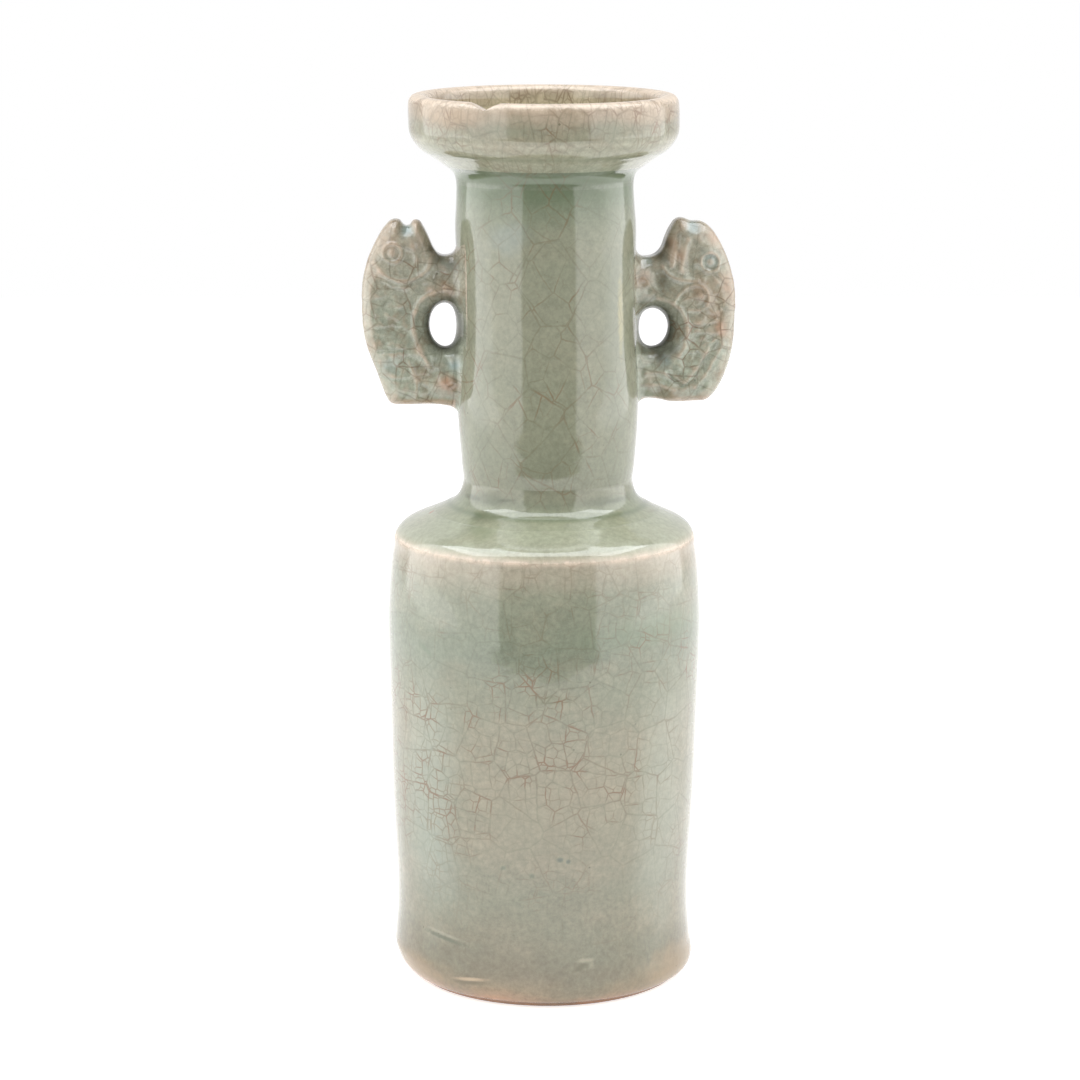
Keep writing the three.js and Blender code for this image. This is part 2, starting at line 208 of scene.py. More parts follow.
def add(tree, kind, inputs=None, **settings):
    """A shader node of a kind, with its settings, and its inputs set or wired."""
    node = tree.nodes.new("ShaderNode" + kind)
    for name, value in settings.items():
        setattr(node, name, value)
    for key, value in (inputs or {}).items():
        if isinstance(value, bpy.types.NodeSocket):
            tree.links.new(value, node.inputs[key])
        else:
            node.inputs[key].default_value = value
    return node


def calc(tree, operation, *values, clamp=False):
    """A reckoning with sockets and numbers."""
    inputs = dict(enumerate(values))
    return add(tree, "Math", inputs, operation=operation, use_clamp=clamp).outputs[0]


def times(tree, first, second, clamp=False):
    """One socket or number times another. clamp keeps it between 0 and 1."""
    return calc(tree, "MULTIPLY", first, second, clamp=clamp)


def tint(tree, amount, first, second, how="MIX"):
    """The first colour with the second laid over it."""
    settings = {"data_type": "RGBA", "blend_type": how, "clamp_factor": True}
    return add(tree, "Mix", {0: amount, 6: first, 7: second}, **settings).outputs[2]


def graded(tree, value, start, end, low=0.0, high=1.0, shape="LINEAR"):
    """low before start, high past end, and an even change between."""
    inputs = {"Value": value, "From Min": start, "From Max": end, "To Min": low, "To Max": high}
    return add(tree, "MapRange", inputs, interpolation_type=shape).outputs[0]


def step_up(tree, value, start, end, low=0.0, high=1.0):
    """As graded, with a soft start and end."""
    return graded(tree, value, start, end, low, high, "SMOOTHSTEP")


def colour(hex_code):
    """A colour of the screen, as light."""
    parts = [int(hex_code[i : i + 2], 16) / 255 for i in (0, 2, 4)]
    return [c / 12.92 if c < 0.04045 else ((c + 0.055) / 1.055) ** 2.4 for c in parts] + [1]


def grey(tree, value):
    """A number as a colour."""
    return add(tree, "CombineColor", {0: value, 1: value, 2: value}).outputs[0]


def cloud(tree, place, size, detail=3, roughness=0.55, output="Fac"):
    """Soft noise with features about so many millimetres across."""
    inputs = {"Vector": place, "Scale": 0.6 / (size * MM), "Detail": detail, "Roughness": roughness}
    return add(tree, "TexNoise", inputs).outputs[output]


def unrolled(tree, place, radius):
    """The wall rolled out flat: the way round it, then the height. It closes at the back."""
    parts = add(tree, "SeparateXYZ", {0: place}).outputs
    front = times(tree, parts["Y"], -1.0)
    bearing = calc(tree, "ARCTAN2", parts["X"], front)
    along = times(tree, bearing, radius * MM)
    return add(tree, "CombineXYZ", {0: along, 1: parts["Z"]}).outputs[0]


def seen_from(tree, place, first, second):
    """The place laid flat on two of its axes."""
    parts = add(tree, "SeparateXYZ", {0: place}).outputs
    return add(tree, "CombineXYZ", {0: parts[first], 1: parts[second]}).outputs[0]


def shifted(tree, place, way, amount):
    """The place moved along a vector or a colour, by an amount of it."""
    shift = add(tree, "VectorMath", {0: way, "Scale": amount}, operation="SCALE").outputs[0]
    return add(tree, "VectorMath", {0: place, 1: shift}, operation="ADD").outputs[0]


def crack_lines(tree, sheet, cell, width, breaks=None):
    """The cracks of a crazed glaze on a flat sheet: lines of a width between cells of a size, both
    in millimetres. Returns the cracks, and a random colour for each cell. breaks is such a colour
    of greater cells, and the pattern starts afresh in each of those."""
    place = shifted(tree, sheet, breaks, 0.31) if breaks else sheet
    inputs = {"Vector": place, "Scale": 1 / (cell * MM), "Randomness": 0.68}
    settings = {"voronoi_dimensions": "2D"}
    border = add(tree, "TexVoronoi", inputs, feature="DISTANCE_TO_EDGE", **settings)
    cells = add(tree, "TexVoronoi", inputs, feature="F1", **settings)
    half = 0.5 * width / cell
    return step_up(tree, border.outputs["Distance"], 0.0, 1.8 * half, 1, 0), cells.outputs["Color"]


def blot(tree, sheet, across, up, half_length, half_width, slope=0.0, ragged=0.5):
    """A soft patch on the flat sheet, 1 inside and 0 outside. Millimetres, and slope in degrees."""
    moved = {
        "Vector": sheet,
        "Location": (across * MM, up * MM, 0),
        "Rotation": (0, 0, math.radians(slope)),
        "Scale": (half_length * MM, half_width * MM, 1),
    }
    inside_out = add(tree, "Mapping", moved, vector_type="TEXTURE").outputs[0]
    distance = add(tree, "VectorMath", {0: inside_out}, operation="LENGTH").outputs["Value"]
    broken = cloud(tree, sheet, 0.8 * min(half_length, half_width), 3, 0.6)
    edge = calc(tree, "MULTIPLY_ADD", broken, 2 * ragged, distance)
    return step_up(tree, edge, ragged + 0.25, ragged + 1.3, 1, 0)


def banded(tree, streaks, height, bands):
    """The body colour of the glaze, in bands that drift up and down round the wall."""
    low = bands[0][0]
    high = bands[-1][0]
    drift = cloud(tree, streaks, 26, 3)
    wander = calc(tree, "MULTIPLY_ADD", drift, 0.10 * (high - low) * MM, -0.05 * (high - low) * MM)
    level = graded(tree, calc(tree, "ADD", height, wander), low * MM, high * MM)
    ramp = add(tree, "ValToRGB", {"Fac": level})
    stops = ramp.color_ramp.elements
    while len(stops) < len(bands):
        stops.new(0.5)
    for stop, (at, shade) in zip(stops, bands):
        stop.position = (at - low) / (high - low)
        stop.color = colour(shade)
    return ramp.outputs["Color"]


def mottled(tree, base, streaks, place, clots, clouds, grain):
    """Greener where it has pooled, warmer where it is lean, and a fine mottle of bubbles."""
    pooling = cloud(tree, streaks, 19, 4, 0.6)
    pooled = graded(tree, pooling, 0.5, 0.72, 0, 0.24 * clouds)
    lean_glaze = graded(tree, pooling, 0.5, 0.3, 0, 0.24 * clouds)
    base = tint(tree, pooled, base, colour("828b78"))
    base = tint(tree, lean_glaze, base, colour("aa9d87"))
    clotted = grey(tree, graded(tree, clots, 0.3, 0.7, 0.93, 1.06))
    base = tint(tree, 1.0, base, clotted, "MULTIPLY")
    bubbles = cloud(tree, place, 0.9, 4, 0.75)
    darkest = 1 - 0.12 * grain
    lightest = 1 + 0.11 * grain
    shade = grey(tree, graded(tree, bubbles, 0.3, 0.7, darkest, lightest))
    return tint(tree, 1.0, base, shade, "MULTIPLY")


def crackle_net(tree, rolled_out, stain, cell, tilt, squeeze, fine):
    """Three orders of cracks, each starting afresh in every cell of the one before. The smaller
    ones show most where the glaze is stained."""
    turn = {"Rotation": (0, 0, math.radians(tilt)), "Scale": (1, squeeze, 1)}
    flat = add(tree, "Mapping", {"Vector": rolled_out, **turn}).outputs[0]
    wavering = shifted(tree, flat, cloud(tree, flat, 5, output="Color"), 2.0 * MM)
    first, great_cells = crack_lines(tree, wavering, cell, 0.46)
    second, small_cells = crack_lines(tree, wavering, 0.5 * cell, 0.38, great_cells)
    third, _ = crack_lines(tree, wavering, 0.26 * cell, 0.32, small_cells)
    second = times(tree, second, graded(tree, stain, 0.38, 0.56, 0.40, 1.0))
    third = times(tree, third, graded(tree, stain, 0.46, 0.66, 0.25 * fine, 0.8 * fine))
    return calc(tree, "MAXIMUM", calc(tree, "MAXIMUM", first, second), third)


def draw_curve(node, points):
    """Sets a float curve to pass through points."""
    curve = node.mapping.curves[0]
    while len(curve.points) < len(points):
        curve.points.new(0.5, 0.5)
    for handle, (x, y) in zip(curve.points, points):
        handle.location = (x, y)
    node.mapping.update()


def blank_material(name):
    """A material, and its tree with nothing in it yet."""
    material = bpy.data.materials.new(name)
    material.use_nodes = True
    material.node_tree.nodes.clear()
    return material, material.node_tree


def finish_with(tree, inputs):
    """Ends a material's tree in a shader with these inputs."""
    shader = add(tree, "BsdfPrincipled", inputs).outputs[0]
    add(tree, "OutputMaterial", {"Surface": shader})


def glaze(
    name, bands, thin_colour, crackle, sheet, cell=12.0, tilt=0.0, squeeze=1.0, fine=1.0,
    pool="66735a", rust=0.0, clouds=1.0, grain=1.0, stains=(), blots=(),
):
    """A crackled celadon glaze. bands are (height, colour) up the piece, crackle is a list of
    (height, strength) for the staining of its cracks, and sheet is the function that lays the
    piece out flat, with its numbers or axes. tilt turns the cracks by so many degrees, and squeeze
    below 1 draws their cells out upwards. fine is the share of small cracks, pool the colour of
    thick glaze in hollows, rust the share of rusty freckles, clouds how uneven the glaze is and
    grain how strong its fine mottle. stains are places where the cracks are darkest: across, up,
    half length, half width. blots are single marks: the same, then colour and amount, and where
    they aren't level and evenly soft, slope and raggedness."""
    material, tree = blank_material(name)
    place = add(tree, "TexCoord").outputs["Object"]
    height = add(tree, "SeparateXYZ", {0: place}).outputs["Z"]
    lay_flat, *how = sheet
    rolled_out = lay_flat(tree, place, *how)

    # the colour of the glaze, the mottle in it and the marks on it
    squat = {0: place, 1: (1, 1, 2.0)}
    streaks = add(tree, "VectorMath", squat, operation="MULTIPLY").outputs[0]
    base = banded(tree, streaks, height, bands)
    clots = cloud(tree, place, 3.6, 4, 0.65)
    base = mottled(tree, base, streaks, place, clots, clouds, grain)
    for across, up, half_length, half_width, shade, amount, *slope_and_edge in blots:
        mark = blot(tree, rolled_out, across, up, half_length, half_width, *slope_and_edge)
        base = tint(tree, times(tree, mark, amount), base, colour(shade))

    # rusty freckles, and where the glaze has flushed pink or clouded to a milky blue
    freckles = cloud(tree, place, 3.4, 5, 0.68)
    base = tint(tree, graded(tree, freckles, 0.50, 0.66, 0, rust), base, colour("7a674f"))
    flush = add(tree, "Attribute", attribute_name="flush").outputs["Fac"]
    broken = graded(tree, clots, 0.34, 0.6, 0.25, 1.2)
    pink = times(tree, flush, broken, clamp=True)
    base = tint(tree, pink, base, colour("ad8c74"))
    milky = times(tree, times(tree, flush, -1.0), broken, clamp=True)
    base = tint(tree, milky, base, colour("93a3a0"))

    # thin glaze over edges shows the clay, and thick glaze in hollows is dark
    thin = add(tree, "Attribute", attribute_name="thin").outputs["Fac"]
    patch = cloud(tree, place, 2.4, 4, 0.65)
    uneven = graded(tree, patch, 0.32, 0.62, 0.35, 1.25)
    worn = times(tree, thin, uneven, clamp=True)
    base = tint(tree, worn, base, colour(thin_colour))
    deep = times(tree, thin, -1.0, clamp=True)
    base = tint(tree, deep, base, colour(pool))

    # painted shade, and dull glaze, in the recesses round the handles
    grime = add(tree, "Attribute", attribute_name="grime").outputs["Fac"]
    base = tint(tree, times(tree, grime, 0.85), base, colour("3d4034"))

    # the crackle, faint all over and dark where dirt has stained it
    stain = cloud(tree, place, 13, 3)
    for stained in stains:
        stain = calc(tree, "MULTIPLY_ADD", blot(tree, rolled_out, *stained), 0.11, stain)
    crack = crackle_net(tree, rolled_out, stain, cell, tilt, squeeze, fine)
    low = bands[0][0]
    high = bands[-1][0]
    grades = add(tree, "FloatCurve", {"Value": graded(tree, height, low * MM, high * MM)})
    draw_curve(grades, [((at - low) / (high - low), amount) for at, amount in crackle])
    faint = times(tree, times(tree, crack, 0.26), grades.outputs[0])
    base = tint(tree, faint, base, colour("5c5e4b"))
    along = cloud(tree, place, 3.2, 3)
    keep = graded(tree, along, 0.38, 0.60, 0.08, 1.0)
    dirt = graded(tree, stain, 0.42, 0.62, 0.12, 0.85)
    strength = times(tree, grades.outputs[0], dirt)
    dark = times(tree, times(tree, crack, keep), strength, clamp=True)
    ageing = tint(tree, graded(tree, along, 0.4, 0.6), colour("6b5c47"), colour("7a5e47"))
    base = tint(tree, dark, base, ageing)

    # pinholes and specks of iron
    dots = add(tree, "TexVoronoi", {"Vector": place, "Scale": 1 / (4.2 * MM)}, feature="F1")
    chosen = add(tree, "SeparateColor", {0: dots.outputs["Color"]}).outputs[0]
    size = graded(tree, chosen, 0.72, 1.0, 0.0, 0.085)
    pin = calc(tree, "LESS_THAN", dots.outputs["Distance"], size)
    base = tint(tree, times(tree, pin, 0.6), base, colour("5a5a46"))

    # orange-peel surface, hair grooves along the cracks and pits at the pinholes
    peel = cloud(tree, place, 2.6, 2)
    swell = cloud(tree, place, 11, 1)
    relief = calc(tree, "MULTIPLY_ADD", swell, 0.7, peel)
    relief = calc(tree, "MULTIPLY_ADD", crack, -0.12, relief)
    relief = calc(tree, "MULTIPLY_ADD", pin, -0.5, relief)
    bump = add(tree, "Bump", {"Height": relief, "Strength": 0.2, "Distance": 0.2 * MM})
    rough = graded(tree, worn, 0.0, 1.0, 0.10, 0.40)
    shine = graded(tree, grime, 0.0, 1.0, 0.5, 0.05)
    surface = {"Base Color": base, "Roughness": rough, "Specular IOR Level": shine, "IOR": 1.62}
    finish_with(tree, {**surface, "Normal": bump.outputs[0]})
    return material


def dress(piece, material, slot, *nodes):
    """The piece takes its glaze, stands for its clay members and stays with the vase."""
    piece.data.materials.append(material)
    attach(piece, "root")
    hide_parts(*nodes)


body_marks = [
    (6, 60, 30, 22, "b39f88", 0.16),  # the tan bloom in the middle of the front
    (-36, 62, 11, 40, "aab6ac", 0.30),  # a bluer veil down the left and the right
    (37, 54, 11, 48, "b0b6aa", 0.30),
    (34, 106, 24, 5, "7f8b75", 0.45),  # a run of thick glaze below the shoulder
    (-36, 36, 14, 18, "9fb0a6", 0.12),  # bluer again below the left veil
    (-50, 6, 26, 5.5, "ab9070", 0.4, 0, 0.6),  # tan where the glaze is thin over the heel
    (50, 6, 26, 7, "ab9070", 0.45, 0, 0.6),
    (-31.5, 18.9, 8.5, 0.5, "b4b5a4", 0.22, -6),  # a scratch: a painted highlight along its edge over a dark groove
    (-31.5, 17.8, 9.0, 0.7, "5c6352", 0.75, -6, 0.6),
    (-22, 6.7, 6.0, 0.7, "6a624e", 0.6, 6, 0.3),  # a raised dash of clay on the heel: painted shadow under it, then its tan top
    (-22, 7.7, 5.6, 0.6, "bfa98d", 0.8, 6, 0.3),
    (12, 14.2, 2.8, 0.8, "aaa690", 0.5, 0, 0.6),  # a blemish on the heel, small ridges painted with highlights and shade
    (13.8, 12.6, 0.9, 1.3, "aaa690", 0.35, 0, 0.6),
    (10.8, 12.4, 2.8, 1.0, "62614d", 0.55, 20, 0.6),
    (4.5, 43.6, 1.0, 0.8, "56635a", 0.7, 0, 0.3),  # specks
    (6.8, 43.0, 0.8, 0.7, "56635a", 0.7, 0, 0.3),
    (-11.6, 40.9, 1.0, 0.7, "65705f", 0.6, 30, 0.3),
    (-3.4, 39.0, 0.8, 0.7, "65705f", 0.6, 0, 0.3),
    (-36, 100, 3.4, 0.8, "74806c", 0.6, -30),
]
body_glaze = glaze(
    "body_glaze",
    [
        (0, "b08260"), (1.0, "b08260"), (2.6, "9c8064"), (5, "897b63"), (9, "78705c"),
        (15, "787360"), (22, "817e6b"), (38, "868472"), (60, "898774"), (78, "8a8875"),
        (90, "868774"), (100, "7d8372"), (106, "7e8472"), (111, "848876"), (117, "888b79"),
        (121.5, "918f7e"), (124.5, "9b9584"), (127, "a79e8e"),
    ],
    "d2bfab",
    [(0, 0.05), (18, 0.12), (34, 0.35), (48, 0.75), (62, 1.0), (85, 1.0), (105, 0.6), (127, 0.4)],
    (unrolled, 43),
    cell=12, tilt=3, grain=1.25,
    stains=[(3, 70, 30, 24), (-34, 55, 10, 26)],
    blots=body_marks,
)
dress(body, body_glaze, "body_glaze", "body")

# The shoulder
# A low dome closed over the cylinder, sharp at its edge, where the glaze runs thin and leaves a
# pale line. It is thickly glazed and hardly crazed, so its colour is the greenest on the vase.

neck_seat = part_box("shoulder")[1].z / MM
bore = 19.2

# the last three points are the root coil's first, so that the one skin runs on into the other
coil_foot = [(35.5, 131.75), (31.2, 133.7), (28.6, 135.1)]
dome = [(41.3, 128), (40.2, 129.3), (38.3, 130.5)]
shoulder_skin = through([(42.2, 124), (shoulder_reach, shoulder_edge), *dome, *coil_foot], 0.5)
shoulder_outline = [
    (body_mouth, shoulder_edge), (40, shoulder_edge),
    *shoulder_skin,
    (24, 133.3), (bore, neck_seat), (bore, 127.7), (22.2, 127.1), (31.7, shoulder_edge),
]


def shoulder_thin(radius, height):
    return 0.7 * near(height, shoulder_edge, 0.8) if radius > 39 else 0


shoulder = throw("shoulder_dressed", shoulder_outline, shoulder_thin, tipped_forward)
shoulder_glaze = glaze(
    "shoulder_glaze",
    [(127, "aca793"), (129, "a3a693"), (131, "9da18c"), (133, "9ca18b"), (136, "8d927b")],
    "dccbbb",
    [(127, 0.2), (130, 0.04), (136, 0.04)],
    (seen_from, "X", "Y"),
    fine=0.2, clouds=0.6,
    blots=[
        (-31.5, -2.5, 1.3, 0.7, "9c6a4c", 0.9, 60),  # a nick on the left
        (-17, -27.5, 3.4, 6.0, "7c876c", 0.5),  # thicker glaze
    ],
)
dress(shoulder, shoulder_glaze, "shoulder_glaze", "shoulder")

# The coil at the root of the neck
# Soft clay worked into the corner between shoulder and neck, so that the neck rises from the
# shoulder in one tight cove. The glaze has pooled at its foot.

behind_coil = 23.0

# it ends in the neck's first three points
neck_foot = [(23.7, 141.7), (23.65, 143.1), (24.05, 146.3)]
root_cove = [(26.8, 136.1), (25.2, 137.65), (24.3, 139.4)]
root_coil_skin = through([*coil_foot, *root_cove, *neck_foot], 0.4)
root_coil_outline = [(behind_coil, 133.3), *root_coil_skin, (behind_coil, 142.5)]


def root_coil_thin(radius, height):
    return -0.55 * near(height, 135.8, 0.5)


root_coil = throw("neck_root_coil_dressed", root_coil_outline, root_coil_thin, tipped_forward)
root_glaze = glaze(
    "root_glaze",
    [
        (132, "989d87"), (135, "8f947d"), (137, "868c77"), (138.7, "7f8471"), (140.5, "828471"),
        (143, "818370"),
    ],
    "c4a684",
    [(132, 0.1), (136, 0.25), (143, 0.5)],
    (unrolled, 25),
    cell=14, tilt=40, squeeze=0.85, fine=0.5, clouds=0.3,
    blots=[
        (-19, 139.6, 11, 1.9, "5c6252", 0.5),  # painted shade: darker in the corner, left and right
        (18, 139.3, 10, 1.6, "5c6252", 0.4),
        (-16.5, 135.4, 4.5, 1.6, "5f6855", 0.5),
        (-25.5, 139.2, 5, 0.8, "4f5546", 0.5),  # painted shade, darker still deep in the corner
        (23.5, 138.9, 5, 0.7, "4f5546", 0.4),
        (-11.5, 139.8, 3, 0.5, "4f5546", 0.45, 4),
    ],
)
dress(root_coil, root_glaze, "shoulder_glaze", "neck_root_coil")

# The neck
# A straight thrown tube of stoneware, a little waisted at both ends. It is luted to the shoulder
# inside the root coil, and its glaze is clear, with long cracks.

dish_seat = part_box("neck")[1].z / MM

neck_head = [(24.6, 220), (24.45, 225), (24.9, 227.4)]
neck_skin = through(
    [
        *neck_foot,
        (24.35, 150), (24.7, 154.5), (25.0, 159), (25.2, 165), (25.2, 170), (24.95, 180),
        (24.85, 205), (25.0, 213),
        *neck_head,
    ]
)
neck_outline = [
    (bore, neck_seat), (behind_coil, neck_seat), (behind_coil, 140),
    *neck_skin,
    (bore + 3, 226), (bore, dish_seat),
]


# the glaze pooled under the dish, dark also as painted shade
def neck_thin(radius, height):
    return -0.55 * near(height, 224.5, 3.2)


neck = throw("neck_dressed", neck_outline, neck_thin, tipped_forward)
neck_glaze = glaze(
    "neck_glaze",
    [
        (140, "7e806c"), (150, "80836f"), (165, "848672"), (190, "888976"), (212, "858875"),
        # the darker top, under the dish, is pooled glaze and painted shade
        (222, "757e69"), (229, "6d7662"),
    ],
    "c4a684",
    [(140, 0.6), (170, 0.75), (200, 0.75), (229, 0.55)],
    (unrolled, 25),
    cell=14, tilt=40, squeeze=0.85, fine=0.5, clouds=0.4,
    blots=[
        (-10, 212, 7, 5, "8d9b99", 0.3),  # a bluish run
        (-20, 182, 5, 48, "6f7666", 0.25),  # thicker towards the handles
        (22, 182, 6, 48, "6f7666", 0.35),
        # painted shade down the neck's sides beside the handles
        (-36, 186, 4, 30, "4f5648", 0.5),
        (36, 186, 4, 30, "4f5648", 0.5),
        (24, 190, 1.4, 12, "a9a074", 0.55),  # a yellowish streak, lighter as a painted highlight down the neck's right side
    ],
)
dress(neck, neck_glaze, "neck_glaze", "neck")

# The coil under the mouth
# A thin coil of clay worked into the corner between neck and dish, so that the neck flares into
# the underside of the dish. The glaze has pooled in it, and its dark ring is also painted shade in the
# gap under the dish.

dish_foot = [(25.9, 228.8), (27.4, 229.9), (29.2, 231.2)]
under_dish = 23.4
mouth_coil_skin = through([*neck_head, *dish_foot], 0.4)
mouth_coil_outline = [(under_dish, 225), *mouth_coil_skin, (under_dish, 229.9)]


def mouth_coil_thin(radius, height):
    return -0.9 * near(height, 227.6, 1.3)


mouth_coil = throw("mouth_coil_dressed", mouth_coil_outline, mouth_coil_thin)
dress(mouth_coil, neck_glaze, "neck_glaze", "mouth_coil")

# The dish mouth
# A shallow thrown dish with an upright rim. Its lip is chipped once at the front, and the glaze
# has run off the lip and the upper wall, which are cream and tan.

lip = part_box("mouth_dish")[1].z / MM

dish_skin = through(
    [
        *dish_foot,
        (31.6, 232.8), (34.0, 234.4), (36.1, 236.9), (37.15, 239.6), (37.3, 243), (37.3, 246),
        (37.05, 248.4), (36.2, 249.6), (34.8, lip), (33.1, 249.8), (31.9, 248.9), (31.5, 247.2),
        (31.3, 243), (30.6, 239.4), (28.2, 236.4), (24.6, 234.6), (21.4, 233.2), (19.6, 230.6),
        (bore, 228.5), (bore, 226),
    ],
    0.5,
)
dish_outline = [(under_dish, 229.2), *dish_skin, (bore + 2, dish_seat)]

chip_angle = math.radians(-90 - 25.5)
chip_width = 5.2
chip_left = 1.05
chip_right = 0.75
chip_depth = 2.5
chip_slant = 0.16
lip_drop = 0.65
rim_foot = 236
rim_height = 10
rim_inside = 30.5
mid_lip = 34


def rising(value, start, width):
    """0 up to start, and rising to 1 over a width."""
    return np.clip((value - start) / width, 0, 1)


def chip(angle, radius, height):
    """The nick knocked out of the lip at the front, where the lip hangs lower than at the back."""
    across = (np.angle(np.exp(1j * (angle - chip_angle))) * radius) / chip_width
    slope = np.where(across < 0, 1 + across / chip_left, 1 - across / chip_right)
    bite = np.clip(slope, 0, 1) * chip_depth
    ceiling = lip - bite + chip_slant * (radius - mid_lip)
    height = np.where((radius > rim_inside) & (bite > 0), np.minimum(height, ceiling), height)
    return radius, height - lip_drop * rising(height, rim_foot, rim_height) * (1 - np.sin(angle))


def dish_thin(radius, height):
    crest = 1.2 * near(height, lip + 0.4, 1.8)
    wall = 0.26 * near(height, 246.4, 2.6) if radius > 35 else 0
    return min(1, crest + wall) - 0.5 * near(height, 233.8, 0.9) * (radius > 30)


dish = throw("mouth_dish_dressed", dish_outline, dish_thin, chip)
dish_glaze = glaze(
    "dish_glaze",
    [
        (228, "8d917c"), (231, "999b86"), (234, "a3a28d"), (236.5, "96957f"), (237.5, "a5a28d"),
        (238.5, "93917c"), (242, "8f8b79"), (244.5, "928673"), (247, "9b8b76"), (250, "c0af9b"),
    ],
    "d2c0ac",
    [(228, 0.25), (233, 0.55), (242, 0.9), (247, 0.7), (250, 0.2)],
    (unrolled, 36),
    cell=7.5, tilt=4, squeeze=0.75, pool="6d755b", rust=0.3, grain=1.4,
    blots=[
        (-111, 240, 42, 9, "e4d7b6", 0.85, 0, 0.4),  # painted light: the inner wall at the back made paler, as if lit more, and tan
        (111, 240, 42, 9, "e4d7b6", 0.85, 0, 0.4),
        (-8, 243, 9, 3.4, "838874", 0.5, 0, 0.6),  # greener at the front, where it has run
        (17, 242.5, 6, 3, "838874", 0.4, 0, 0.6),
        (-28, 245, 12, 3.4, "968064", 0.8, 0, 0.6),  # tan on either side
        (34, 245, 10, 3.0, "a08c74", 0.6, 0, 0.6),
    ],
)
dress(dish, dish_glaze, "dish_glaze", "mouth_dish")

# The coil inside the shoulder
# The seam between cylinder and shoulder is sealed on the inside with a coil of clay. It stays
# bare, because no glaze reaches it, and keeps the plain form of the turned solid.

clay, clay_tree = blank_material("bare_clay")
clay_place = add(clay_tree, "TexCoord").outputs["Object"]
grains = {"Vector": clay_place, "Scale": 700, "Detail": 5}
grit = add(clay_tree, "TexNoise", grains).outputs["Fac"]
clay_colour = tint(clay_tree, grit, colour("9a6f4a"), colour("c79a72"))
grit_bump = add(clay_tree, "Bump", {"Height": grit, "Strength": 0.5, "Distance": 0.3 * MM})
clay_surface = {"Base Color": clay_colour, "Roughness": 0.8, "Normal": grit_bump.outputs[0]}
finish_with(clay_tree, clay_surface)
seam_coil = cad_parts["shoulder_seam_coil"]
seam_coil.data.materials.clear()
seam_coil.data.materials.append(clay)

# The fish handles
# Two fish, pressed in a two-part mould, stand head up on either side of the neck, luted to it by
# the fin and by the curled tail. The glaze is thin and brown on everything that stands proud.

tail_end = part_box("left_fish_front")[0].z / MM
neck_radius = 24.9
grid = 0.36
half_thick = 6.3

# how the root runs into the neck: the width of its fillet, how deep it is bedded, how far the
# luting clay lies under the neck's glaze, and how far it spreads beyond the fish and its sides
fillet = 3.2
bedded = 1.6
under_glaze = 0.12
root_beyond = 5.0
root_aside = 4.5


def falling(value, end, width):
    """1, and falling to 0 over a width that ends at end."""
    return np.clip((end - value) / width, 0, 1)


def smooth_loop(points, step=0.8):
    """A closed smooth line through points."""
    ring = [points[-1], *points, points[0], points[1]]
    return np.array(through(ring, step))


def far_from(line, u, v, closed=False):
    """The distance from every grid point to a line of points."""
    ends = np.roll(line, -1, axis=0) if closed else line[1:]
    starts = line if closed else line[:-1]
    best = np.full(u.shape, 1e9)
    for (au, av), (bu, bv) in zip(starts, ends):
        du = bu - au
        dv = bv - av
        t = np.clip(((u - au) * du + (v - av) * dv) / max(du * du + dv * dv, 1e-9), 0, 1)
        best = np.minimum(best, np.hypot(u - au - t * du, v - av - t * dv))
    return best


def inside(line, u, v):
    """Whether every grid point lies inside a closed line."""
    odd = np.zeros(u.shape, bool)
    for (au, av), (bu, bv) in zip(line, np.roll(line, -1, axis=0)):
        crosses = (av > v) != (bv > v)
        meet = au + (v - av) * (bu - au) / (bv - av if bv != av else 1e-9)
        odd ^= crosses & (u < meet)
    return odd


def guide_ends(points):
    """The points with one more beyond either end, so that the smooth line reaches both."""
    first, second = np.array(points[0], float), np.array(points[1], float)
    last, before = np.array(points[-1], float), np.array(points[-2], float)
    return [tuple(2 * first - second), *points, tuple(2 * last - before)]


def ridge(points, u, v, width, rise):
    """A raised line across the fish, or a groove where rise is negative."""
    line = np.array(through(guide_ends(points), 0.6))
    return rise * np.exp(-((far_from(line, u, v) / width) ** 2))


def ring(centre, radius, width, rise, u, v):
    """A raised ring, or a round bump where its radius is 0."""
    return rise * np.exp(-(((np.hypot(u - centre[0], v - centre[1]) - radius) / width) ** 2))


def spots(u, v, marks):
    """Round hills, or hollows, of (u, v, radius, rise)."""
    return sum(ring((at_u, at_v), 0, radius, rise, u, v) for at_u, at_v, radius, rise in marks)


def lumps(u, v, size, seed):
    """An uneven ground of soft hills about so many millimetres across."""
    dice = np.random.default_rng(seed)
    waves = 26
    ground = np.zeros(u.shape)
    for bearing, stretch, phase in dice.uniform((0, 0.7, 0), (math.pi, 1.6, 2 * math.pi), (waves, 3)):
        way = u * math.cos(bearing) + v * math.sin(bearing)
        ground += np.sin(2 * math.pi * way / (size * stretch) + phase)
    return ground / 3.6


def scales(u, v):
    """Rows of overlapping scales, each a raised arc open towards the head."""
    across = 3.3
    down = 2.7
    arc_radius = 1.75
    arc_width = 0.42
    arcs = np.zeros(u.shape)
    for row in range(4, 13):
        offset = 0.5 * across * (row % 2)
        away_u = (u - offset + 0.5 * across) % across - 0.5 * across
        away_v = v - row * down
        round_it = ring((0, 0), arc_radius, arc_width, 1, away_u, away_v)
        arcs = np.maximum(arcs, round_it * np.clip(0.6 - away_v, 0, 1))
    return arcs


